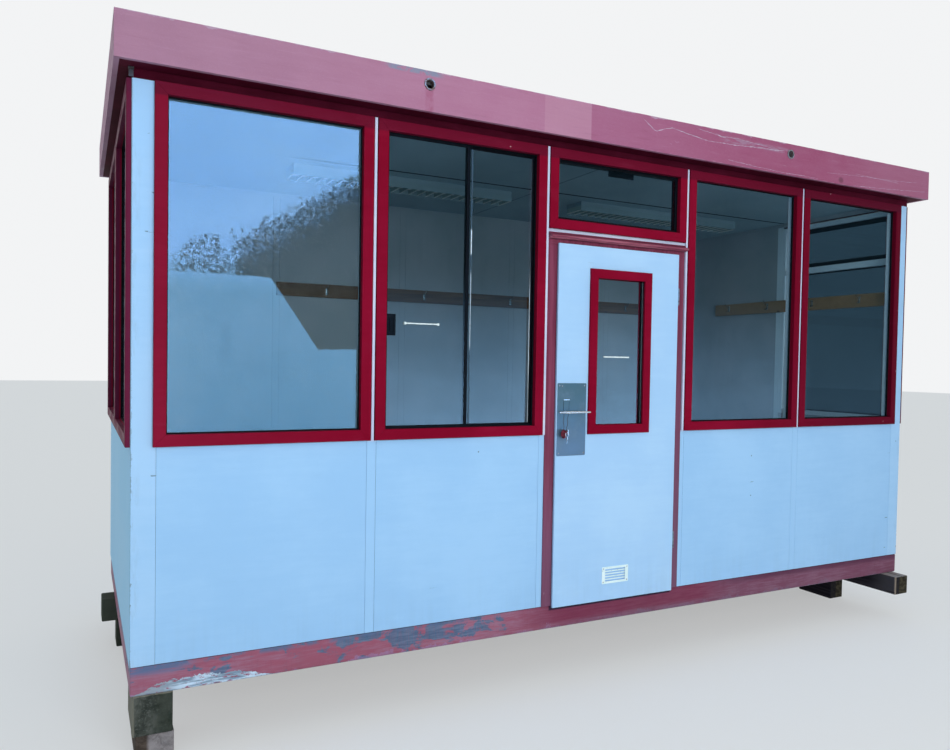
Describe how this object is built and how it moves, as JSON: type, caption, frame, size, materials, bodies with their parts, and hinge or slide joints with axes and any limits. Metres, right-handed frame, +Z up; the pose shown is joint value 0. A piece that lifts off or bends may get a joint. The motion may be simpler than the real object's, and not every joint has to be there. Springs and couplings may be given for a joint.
{
  "type": "portable site cabin",
  "caption": "Long flat-roofed portable cabin with red-trimmed windows, a half-glazed door and a deep roof edge, standing on timber blocks",
  "frame": {"origin": "on the ground under the middle of the roof", "axes": "+X along the long side to the right as seen from the door side, +Y from the door side to the back, +Z up"},
  "size_m": [5.35, 2.428, 3.228],
  "materials": {
    "rail_paint": "worn dull red paint with blue-grey patches",
    "joist_timber": "sawn",
    "floor_board": "worn board",
    "panel_paint": "pale blue-white satin paint",
    "dark_paint": "dark red paint",
    "frame_paint": "white gloss paint",
    "trim_paint": "crimson paint",
    "gasket_rubber": "matte",
    "window_glass": "dusty clear glass",
    "sash_metal": "black coated",
    "jamb_paint": "faded red paint",
    "leaf_paint": "pale blue-white satin paint, dirty at the foot",
    "plate_steel": "dull grey-blue",
    "lever_steel": "worn bright",
    "vent_plastic": "weathered",
    "hinge_steel": "zinc plated",
    "ceiling_board": "white paint",
    "roof_felt": "matte covering",
    "fascia_paint": "faded pink-mauve paint, scratched",
    "socket_steel": "rusty grey",
    "rail_board": "brown varnish",
    "light_paint": "white paint",
    "block_timber": "weathered, mossy",
    "bearer_timber": "weathered, dark"
  },
  "bodies": {
    "cabin": {"base_frame": "rail_paint", "floor_joists": "joist_timber", "floor_deck": "floor_board", "corner_posts": "panel_paint", "front_posts": "panel_paint", "end_posts": "panel_paint", "front_panels_left": "panel_paint", "front_panels_right": "panel_paint", "left_end_panels": "panel_paint", "right_end_panels": "panel_paint", "back_wall": "panel_paint", "head_beam": "dark_paint", "front_window_frames": "frame_paint", "left_window_frames": "frame_paint", "right_window_frames": "frame_paint", "front_window_trims": "trim_paint", "left_window_trims": "trim_paint", "right_window_trims": "trim_paint", "window_gaskets": "gasket_rubber", "front_glass": "window_glass", "left_end_glass": "window_glass", "right_end_glass": "window_glass", "sliding_window_frame": "sash_metal", "sliding_sashes": "sash_metal", "flap_sashes": "sash_metal", "door_frame": "jamb_paint", "drip_bar": "trim_paint", "frame_hinges": "hinge_steel", "ceiling": "ceiling_board", "roof_joists": "joist_timber", "roof_deck": "roof_felt", "fascia": "fascia_paint", "soffit": "dark_paint", "lifting_sockets": "socket_steel", "coat_rails": "rail_board", "ceiling_lights": "light_paint", "left_blocks": "block_timber", "right_blocks": "bearer_timber"},
    "door": {"door_leaf": "leaf_paint", "door_window_trim": "trim_paint", "door_glass": "window_glass", "lock_plate": "plate_steel", "vent_grille": "vent_plastic", "leaf_hinges": "hinge_steel"},
    "lever": {"door_lever": "lever_steel"}
  },
  "joints": [
    {"name": "door_hinge", "type": "hinge", "parent": "cabin", "child": "door", "pos_m": [0.438, -1.1185, 1.475], "axis": [0, 0, 1], "range_deg": [0, 110]},
    {"name": "lever_turn", "type": "hinge", "parent": "door", "child": "lever", "pos_m": [-0.376, -1.13, 1.528], "axis": [0, 1, 0], "range_deg": [0, 40], "stiffness_Nm_per_rad": 1.2, "springref_deg": -11.46}
  ]
}
